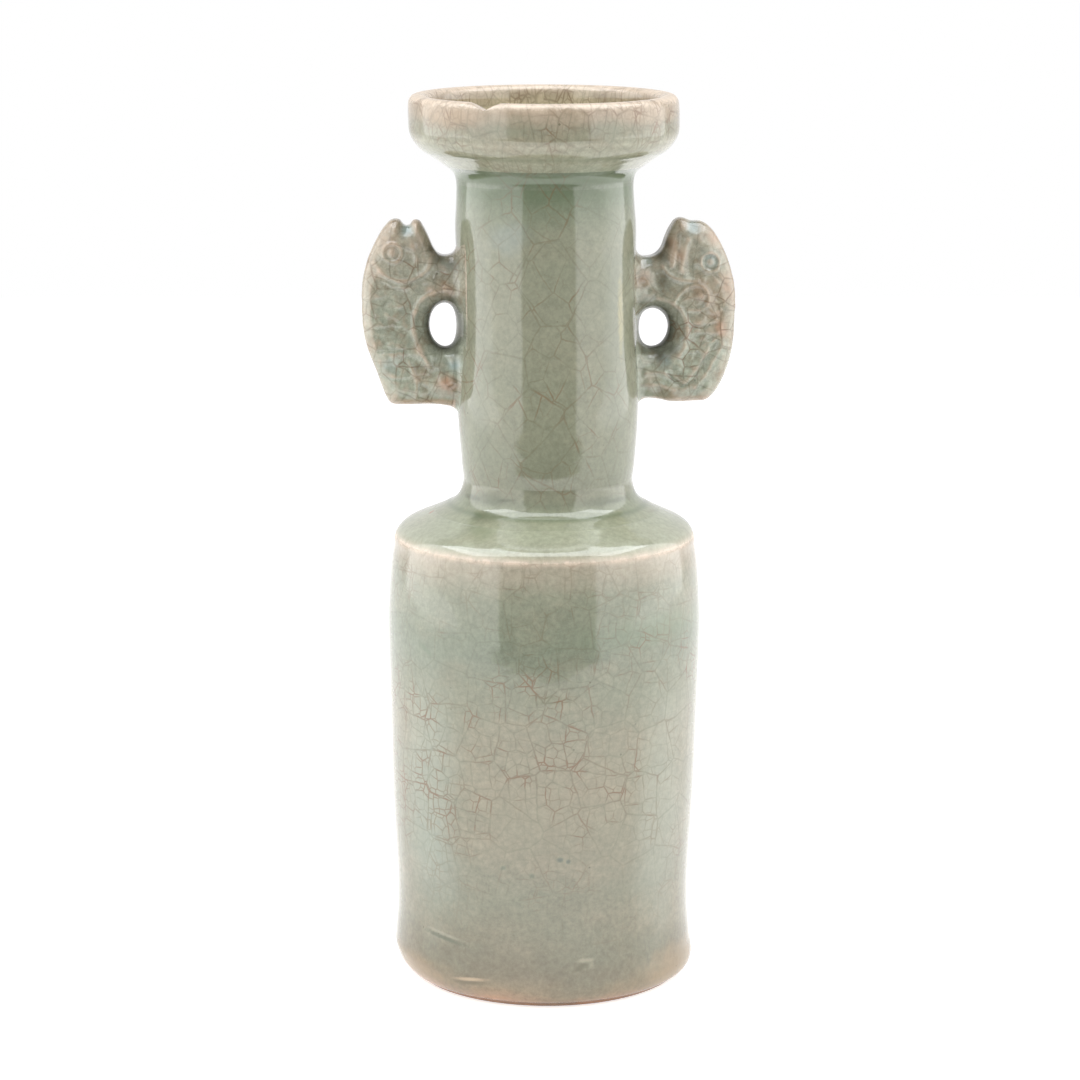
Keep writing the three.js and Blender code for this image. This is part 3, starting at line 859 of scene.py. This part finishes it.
def skin_of(field, origin):
    """The surface where a field of numbers on the grid crosses zero, negative inside, as corners
    and four-sided faces. Each cell that the surface crosses holds one corner."""
    solid = field < 0
    cells = np.zeros([n - 1 for n in field.shape], int)
    total = np.zeros(list(cells.shape) + [3])
    hits = np.zeros(cells.shape)
    corners = [(a, b, c) for a in (0, 1) for b in (0, 1) for c in (0, 1)]
    size = cells.shape

    def part(array, shift):
        return array[tuple(slice(s, s + n) for s, n in zip(shift, size))]

    for a in corners:
        for axis in range(3):
            if a[axis]:
                continue
            b = list(a)
            b[axis] = 1
            fa = part(field, a)
            fb = part(field, b)
            cross = part(solid, a) != part(solid, b)
            t = np.where(cross, fa / np.where(cross, fa - fb, 1), 0)
            for k in range(3):
                total[..., k] += np.where(cross, a[k] + (t if k == axis else 0), 0)
            hits += cross
    crossed = hits > 0
    cells[crossed] = np.arange(crossed.sum())
    places = np.argwhere(crossed) + total[crossed] / hits[crossed][:, None]
    faces = []
    for axis in range(3):
        u_axis = (axis + 1) % 3
        v_axis = (axis + 2) % 3
        low = [slice(None)] * 3
        high = [slice(None)] * 3
        low[axis] = slice(0, -1)
        high[axis] = slice(1, None)
        change = solid[tuple(low)].astype(int) - solid[tuple(high)].astype(int)
        at = np.argwhere(change)
        at = at[(at[:, u_axis] > 0) & (at[:, v_axis] > 0)]
        at = at[(at[:, u_axis] < field.shape[u_axis] - 1) & (at[:, v_axis] < field.shape[v_axis] - 1)]
        du = np.eye(3, dtype=int)[u_axis]
        dv = np.eye(3, dtype=int)[v_axis]
        quads = np.stack([cells[tuple((at - d).T)] for d in (du + dv, dv, 0 * du, du)], axis=1)
        outward = change[tuple(at.T)] > 0
        faces.append(np.where(outward[:, None], quads, quads[:, ::-1]))
    return np.array(origin) + places * grid, np.concatenate(faces)


def smooth_union(a, b, blend):
    """Two forms run together, with a fillet about so wide."""
    h = np.clip(0.5 + 0.5 * (b - a) / blend, 0, 1)
    return b + (a - b) * h - blend * h * (1 - h)


def proud_of(places, faces, rounds=30):
    """How far each corner stands out from its smoothed surroundings, in millimetres."""
    pairs = np.concatenate([faces[:, [i, (i + 1) % 4]] for i in range(4)])
    count = np.bincount(pairs.ravel(), minlength=len(places))[:, None]
    calm = places.copy()
    for _ in range(rounds):
        total = np.zeros_like(calm)
        np.add.at(total, pairs[:, 0], calm[pairs[:, 1]])
        np.add.at(total, pairs[:, 1], calm[pairs[:, 0]])
        calm = 0.5 * calm + 0.5 * total / count
    a, b, c, d = (places[faces[:, i]] for i in range(4))
    face_normal = np.cross(c - a, d - b)
    normal = np.zeros_like(places)
    for i in range(4):
        np.add.at(normal, faces[:, i], face_normal)
    normal /= np.linalg.norm(normal, axis=1)[:, None] + 1e-12
    return ((places - calm) * normal).sum(axis=1)


def press_fish(name, side, turn, seed, outline, hole, eye, ridges, hills, recesses, flushes):
    """One fish. side is 1 on the right and -1 on the left, turn is how many degrees it is swung
    out of line with the other, and seed sets how uneven it came out of the mould. All on it is
    drawn with u outwards from the vase's axis and v up from the end of the tail: lines of
    (points, width, rise), and hills, recesses darkened with painted shade and flushed spots of
    (u, v, radius, amount)."""
    # the block of space that holds the fish and its root in the neck
    u_values = np.arange(neck_radius - 6, 55.5, grid)
    y_values = np.arange(-11, 11.01, grid)
    v_values = np.arange(-7, 55, grid)
    u, v = np.meshgrid(u_values, v_values, indexing="ij")
    border = smooth_loop(outline)
    gap = smooth_loop(hole)
    from_edge = far_from(border, u, v, closed=True) * np.where(inside(border, u, v), -1, 1)
    into_gap = far_from(gap, u, v, closed=True) * np.where(inside(gap, u, v), -1, 1)
    dorsal = rising(u, 47.5, 2) * falling(v, 38, 4) * rising(v, 12, 4)
    distance = np.maximum(from_edge - 0.03 * dorsal * np.cos(2 * math.pi * v / 3.8), -into_gap)

    # the mould's relief, and the softness of hand-pressed clay
    flank = rising(u, 38, 2) * falling(u, 49.5, 2) * rising(v, 10, 3) * falling(v, 33.5, 2)
    relief = 0.16 * flank * scales(u, v)
    relief += 0.15 * lumps(u, v, 6.5, seed)
    relief += 0.05 * lumps(u, v, 2.8, seed + 1)
    for points, width, rise in ridges:
        relief += ridge(points, u, v, width, rise)
    # the eye: a raised rim and a bead, with a groove between them
    relief += ring(eye, 2.6, 0.55, 0.5, u, v) + ring(eye, 0, 1.1, 0.5, u, v)
    relief -= ring(eye, 1.6, 0.5, 0.25, u, v)
    relief += spots(u, v, hills)

    # a flat body with round edges, thinner at head and tail, run together with the neck
    round_edge = 4.6 + 1.5 * np.exp(-((into_gap / 4) ** 2))
    thick = half_thick - 1.2 * rising(v, 40, 14) ** 2 - 0.9 * falling(v, 14, 14)
    round_edge = np.minimum(round_edge, thick)
    y = np.abs(y_values)[None, :, None]
    plan = (distance + round_edge)[:, None, :]
    rise = y - (thick - round_edge)[:, None, :]
    outside = np.hypot(np.maximum(plan, 0), np.maximum(rise, 0))
    whole = outside + np.minimum(np.maximum(plan, rise), 0)
    fade = np.clip(1 - np.maximum(plan, 0) / (1.15 * round_edge[:, None, :]), 0, 1)
    whole = whole - round_edge[:, None, :] - relief[:, None, :] * fade
    from_axis = np.hypot(u[:, None, :], y)
    whole = smooth_union(whole, from_axis - (neck_radius - under_glaze), fillet)
    whole = np.maximum(whole, neck_radius - bedded - from_axis)
    whole = np.maximum(whole, distance[:, None, :] - root_beyond)
    whole = np.maximum(whole, y - half_thick - root_aside)
    places, faces = skin_of(whole, (u_values[0], y_values[0], v_values[0]))

    # glaze thin on what stands proud and on the tail's end, pooled in hollows and round the hole, where
    # its dark colour is also painted shade
    at_u, at_y, at_v = places.T
    column = np.rint((at_u - u_values[0]) / grid).astype(int)
    row = np.rint((at_v - v_values[0]) / grid).astype(int)
    thin = np.clip(proud_of(places, faces) / 0.38, -0.8, 0.9) - 0.05
    rim = np.exp(-(((from_edge[column, row] + 0.6) / 1.9) ** 2)) * (at_u > neck_radius + 4)
    thin += 0.15 * rim
    thin -= 1.1 * np.exp(-((into_gap[column, row] / 1.7) ** 2))
    foot = np.clip(1.4 - at_v / 1.6, 0, 0.9) * (at_u > neck_radius + 1)
    thin = np.clip(np.maximum(thin, foot), -0.9, 1)
    flush = spots(at_u, at_v, flushes) * np.where(at_y * side < 0, 1, 0.4)
    flush += 0.15 * rim + 0.8 * foot
    # painted shade: dark colour in the recesses and round the hole, where shade falls
    grime = np.clip(spots(at_u, at_v, recesses), 0, 1)
    grime = np.maximum(grime, 0.9 * np.exp(-((into_gap[column, row] / 1.3) ** 2)))

    angle = math.radians(turn) + (0 if side > 0 else math.pi)
    x = at_u * math.cos(angle) - at_y * math.sin(angle)
    y = at_u * math.sin(angle) + at_y * math.cos(angle)
    z = at_v + tail_end
    corners = np.stack([x + lean(z), y, z], axis=1)
    return form(name, corners, faces, thin=thin, flush=flush, grime=grime)


def oval(u, v, half_width, half_height):
    """The hole between fish and neck."""
    angles = np.linspace(0, 2 * math.pi, 13)[:-1]
    return [(u + half_width * math.cos(a), v + half_height * math.sin(a)) for a in angles]


left_drawing = dict(
    outline=[
        (20, 0.2), (32, 0.1), (40, 0.0), (43.6, 0.4), (45.0, 2.4), (46.2, 5.4), (47.6, 9.6),
        (49.2, 13.8), (50.5, 18.2), (51.1, 22.8), (51.2, 30), (50.7, 35.4), (49.7, 39.4),
        (48.4, 42.8), (46.4, 46.6), (44.6, 49.4), (42.6, 51.3), (40.4, 51.4), (38.9, 49.9),
        (37.6, 49.9), (36.4, 51.2), (34.9, 51.1), (33.6, 49.2), (32.2, 46.2), (30.9, 43.4),
        (29.4, 41.8), (26, 41.6), (20, 42.4),
    ],
    hole=oval(28.3, 22.2, 4.3, 6.1),
    eye=(42.4, 42.8),
    ridges=[
        # the gill cover, and the fold below it
        (
            [(47.6, 40), (45.2, 37), (41.2, 35.2), (37.4, 35.4), (34.2, 37), (32.2, 39.4), (31.6, 42)],
            0.8,
            0.7,
        ),
        ([(45.6, 35.2), (41.4, 33.4), (37.2, 33.4), (33.8, 34.6)], 0.55, 0.3),
        # the fin's rim round the hole
        (
            [(30.2, 31.8), (33.6, 30.6), (35.7, 28.4), (36.8, 25), (36.8, 21), (35.9, 17.4), (33, 11.6)],
            0.8,
            0.65,
        ),
        # folds at the side of the mouth
        ([(35.6, 50.2), (34.4, 46.6), (33.4, 43.0)], 0.8, 0.45),
        ([(37.8, 47.6), (36.6, 44.4), (35.6, 40.6)], 0.7, 0.35),
        # the spine, and the creases and rays of the tail
        ([(48.6, 34.0), (49.0, 27.0), (48.4, 19.0), (46.2, 11.0)], 0.6, 0.3),
        ([(47.4, 15.2), (43.0, 15.6), (39.6, 15.8)], 0.4, -0.35),
        ([(46.2, 8.0), (40.0, 7.4), (33.5, 8.4)], 0.45, -0.4),
        ([(38.4, 12.6), (36.4, 7.0), (36.6, 2.0)], 0.6, 0.35),
        ([(27.2, 14.2), (26.2, 10.6), (26.6, 7.0)], 1.0, 0.5),
    ],
    hills=[
        (28.4, 6.6, 2.2, 0.8), (31.8, 32.2, 1.4, 0.5), (27.6, 32.8, 1.7, 0.6),
        (41.2, 50.4, 1.4, 0.4), (38.2, 49.2, 1.4, -0.7), (31.5, 9.5, 1.6, -0.4),
        (30.0, 37.0, 1.8, -0.4),
    ],
    recesses=[
        (26.4, 29.4, 1.8, 0.8), (25.6, 39.6, 2.0, 0.7), (29.6, 40.9, 1.8, 0.8),
        (31.6, 43.6, 1.4, 0.7), (25.8, 15.6, 1.6, 0.7),
    ],
    flushes=[
        (38.4, 48.8, 1.8, -1.0), (27.6, 32.6, 1.9, 0.9), (31.8, 32.2, 1.5, 0.7),
        (28.4, 6.4, 2.6, 0.9), (25.8, 11.6, 1.8, -0.8), (43.5, 45.0, 2.6, 0.5),
        (35.6, 16.0, 1.6, 0.5), (44.2, 11.4, 2.6, -0.5), (46.8, 37.4, 2.0, 0.4),
        (36.0, 44.5, 1.6, 0.5), (28.0, 38.8, 1.6, -0.5), (36, 8, 1.6, 0.4),
    ],
)
right_drawing = dict(
    outline=[
        (20, 1.2), (28.6, 1.1), (31.6, 0.6), (34, 0.1), (40, 0.0), (44.5, 0.4), (46.8, 2.4),
        (48.6, 5.2), (50.2, 9.0), (51.3, 12.6), (52.2, 17.6), (52.5, 22.6), (52.8, 28.4),
        (52.3, 34.0), (51.2, 38.4), (49.8, 42.2), (48.0, 45.8), (46.0, 48.6), (43.6, 50.3),
        (40.4, 50.7), (38.2, 51.4), (36.4, 51.0), (34.9, 49.0), (33.5, 46.0), (32.5, 43.4),
        (31.2, 41.7), (29.4, 40.9), (26, 40.9), (20, 41.8),
    ],
    hole=oval(29.5, 20.9, 4.5, 5.3),
    eye=(45.0, 39.5),
    ridges=[
        # the gill cover and the crease behind the eye
        ([(31.6, 38.6), (33.6, 36.0), (37.0, 34.6), (41.4, 34.2)], 0.7, 0.55),
        ([(46.2, 36.0), (49.8, 32.4)], 0.45, -0.5),
        # folds of the snout
        ([(34.9, 47.6), (33.8, 43.6), (34.2, 38.6)], 1.0, 0.65),
        ([(38.6, 45.6), (37.8, 41.6), (36.8, 37.6)], 1.0, 0.55),
        ([(36.4, 47.0), (35.9, 42.4), (35.6, 38.0)], 0.5, -0.4),
        # the pectoral fin
        (
            [(34.6, 28), (36.8, 31.2), (39.6, 33), (43, 32.6), (44.6, 29.6), (43, 26.6), (38.6, 26.2)],
            0.5,
            0.45,
        ),
        ([(36.4, 28.6), (39.4, 29.8), (42.6, 30.0)], 0.5, 0.3),
        # creases across the flank
        ([(36.8, 22.2), (42.0, 21.4), (47.0, 22.4)], 0.45, -0.4),
        ([(38.2, 17.4), (42.4, 17.2), (46.4, 18.8)], 0.45, -0.4),
        # the fin's rim round the hole
        ([(30.5, 29.2), (34.2, 28.0), (36.8, 25.6), (38.2, 21.6), (38.0, 17.4), (36.2, 13.4)], 0.8, 0.5),
        # the curl of the tail and its rays
        (
            [(46.8, 17.4), (44.2, 13.2), (42, 9.6), (39.6, 6.2), (37.4, 5), (34.8, 6.4), (33, 8.6)],
            0.5,
            -0.6,
        ),
        ([(48.4, 16.4), (45.8, 12.0), (43.6, 8.2), (40.8, 4.4)], 0.6, 0.45),
        ([(26.8, 8.6), (31.0, 8.8), (35.0, 7.4)], 0.6, 0.35),
        ([(26.6, 5.6), (31.0, 5.2), (35.0, 3.8)], 0.6, 0.3),
    ],
    hills=[
        (40.6, 49.4, 2.2, -1.0), (26.5, 35.2, 2.6, 0.5), (27.4, 31.8, 0.8, -0.5),
        (31.4, 34.2, 2.2, -0.6), (31.8, 12.0, 1.9, -0.6), (36.8, 10.4, 1.8, 0.5),
        (42.4, 30.0, 1.2, 0.35), (48.4, 20.8, 1.4, 0.4),
    ],
    recesses=[
        (31.8, 34.4, 2.4, 0.55), (26.4, 15.2, 1.8, 0.8), (30.6, 14.0, 2.2, 0.8),
        (34.2, 15.4, 1.8, 0.7), (31.4, 41.4, 1.7, 0.8), (33.2, 44.6, 1.4, 0.7),
        (26.0, 28.6, 1.6, 0.6),
    ],
    flushes=[
        (40.5, 49.2, 2.4, -1.1), (45.2, 40.0, 2.6, -0.6), (48.2, 20.8, 1.9, 1.2),
        (36.4, 41.0, 2.2, 0.6), (34.4, 45.0, 1.6, 0.6), (26.4, 35.2, 2.4, 0.5),
        (31.8, 12.0, 1.9, -0.7), (50.4, 33.0, 2.6, 0.5), (47.0, 24.6, 2.2, 0.5),
        (28.2, 39.6, 1.6, -0.6), (46.6, 46.0, 1.8, 0.5), (28.0, 7.0, 2.4, 0.3),
        (46.0, 30.0, 8.0, 0.3),
    ],
)

fish_glaze = glaze(
    "fish_glaze",
    [(155, "969d8c"), (170, "9ba190"), (190, "979a8a"), (205, "9e9c8c"), (217, "a49e8d")],
    "b8a590",
    [(155, 0.8), (165, 1.0), (190, 1.0), (217, 0.8)],
    (seen_from, "X", "Z"),
    # the near-black pool is pooled glaze and painted shade in the fish's hollows and round the holes
    cell=10.5, tilt=12, fine=0.4, pool="3f4939", rust=0.6, grain=2.0,
)
for hand, side, turn, seed, shape in (
    ("left", -1, 2, 5, left_drawing),
    ("right", 1, 7, 11, right_drawing),
):
    fish = press_fish(f"{hand}_fish_dressed", side, turn, seed, **shape)
    members = [f"{hand}_{member}" for member in ("fish_front", "fish_back", "upper_wad", "lower_wad")]
    dress(fish, fish_glaze, "fish_glaze", *members)

# The table and the light
# The vase stands on a white table that ends a little way in front of it, between two tall
# softboxes and under a third, with white behind and an unlit room in front.

table_edge = -0.362
table_back = 1.6
table_side = 1.6
table = bpy.data.meshes.new("table")
near_edge = [(-table_side, table_edge, 0), (table_side, table_edge, 0)]
far_edge = [(table_side, table_back, 0), (-table_side, table_back, 0)]
table.from_pydata(near_edge + far_edge, [], [(0, 1, 2, 3)])
table_top = set_up("table_top", table)

# white paper, and brighter where the camera or the glaze sees it
white, white_tree = blank_material("white_table")
paper = add(white_tree, "BsdfDiffuse", {"Color": (0.9, 0.9, 0.9, 1)}).outputs[0]
shine = add(white_tree, "Emission", {"Color": (1, 1, 1, 1), "Strength": 0.6}).outputs[0]
rays = add(white_tree, "LightPath").outputs
direct = calc(white_tree, "MAXIMUM", rays["Is Camera Ray"], rays["Is Glossy Ray"])
glow = add(white_tree, "MixShader", {0: direct, 2: shine})
both = add(white_tree, "AddShader", {0: paper, 1: glow.outputs[0]})
add(white_tree, "OutputMaterial", {"Surface": both.outputs[0]})
table.materials.append(white)

# the room is white to the camera, white in the glaze behind the vase and dark in it elsewhere,
# and gives everything an even soft light
world = bpy.data.worlds.new("studio")
bpy.context.scene.world = world
world.use_nodes = True
sky = world.node_tree
sky.nodes.clear()


def white_sky(strength):
    """White all round, at a strength."""
    return add(sky, "Background", {"Color": (1, 1, 1, 1), "Strength": strength}).outputs[0]


rays = add(sky, "LightPath").outputs
seen = calc(sky, "MAXIMUM", rays["Is Camera Ray"], rays["Is Transmission Ray"])
toward = add(sky, "TexCoord").outputs["Generated"]
parts = add(sky, "SeparateXYZ", {0: toward}).outputs
behind_vase = step_up(sky, parts["Y"], -0.25, 0.15)
below_ceiling = step_up(sky, parts["Z"], 0.70, 0.64)
wall = times(sky, behind_vase, below_ceiling)
mirrored = calc(sky, "MULTIPLY_ADD", wall, 0.95, 0.05)
shades = {1: white_sky(0.40), 2: white_sky(mirrored)}
lit = add(sky, "MixShader", {0: rays["Is Glossy Ray"], **shades}).outputs[0]
shown = add(sky, "MixShader", {0: seen, 1: lit, 2: white_sky(1.0)}).outputs[0]
add(sky, "OutputWorld", {"Surface": shown})


def panel(name, width, depth, level):
    """A rectangular lamp whose cloth is equally bright at any size."""
    light = bpy.data.lights.new(name, "AREA")
    light.shape = "RECTANGLE"
    light.size = width
    light.size_y = depth
    light.energy = level * math.pi * width * depth
    return set_up(name, light)


box_distance = 1.0
box_foot = -0.1
box_top = 1.3
box_level = 1.85


def softbox(name, first, last):
    """An upright softbox between two bearings from the vase, in degrees to the right of the front."""
    bearings = [math.radians(first), math.radians(last)]
    ax, bx = (box_distance * math.sin(a) for a in bearings)
    ay, by = (-box_distance * math.cos(a) for a in bearings)
    lamp = panel(name, math.hypot(bx - ax, by - ay), box_top - box_foot, box_level)
    lamp.location = ((ax + bx) / 2, (ay + by) / 2, (box_foot + box_top) / 2)
    lamp.rotation_euler = (math.radians(90), 0, math.atan2(ax + bx, -ay - by))


softbox("left_softbox", -32, -122)
softbox("right_softbox", 36.5, 122)

# the overhead softbox is dim as a light, and its cloth bright where the glaze mirrors it
overhead_width = 2.2
overhead = panel("overhead_softbox", overhead_width, 1.45, level=0.95)
overhead.location = (0, -0.505, 1.3)
overhead.visible_glossy = False
cloth = panel("overhead_cloth", overhead_width, 1.1, level=4.2)
cloth.location = (0, 0.02, 1.31)
cloth.data.color = (0.92, 0.96, 1.0)
cloth.visible_diffuse = False

# The camera
# It looks a little down on the vase from the front, through a long lens. Its place was found from
# the ellipses of the mouth, the shoulder's edge and the foot.

camera_distance = 904.1
camera_height = 302.2
camera_aside = -1.1
look_down = 11.11
camera_data = bpy.data.cameras.new("camera")
camera_data.sensor_width = 36
camera_data.lens = 109.07
camera_data.clip_start = 0.05
camera = set_up("camera", camera_data)
camera.location = (camera_aside * MM, -camera_distance * MM, camera_height * MM)
camera.rotation_euler = (math.radians(90 - look_down), 0, 0)
bpy.context.scene.camera = camera
bpy.context.scene.view_settings.view_transform = "Standard"
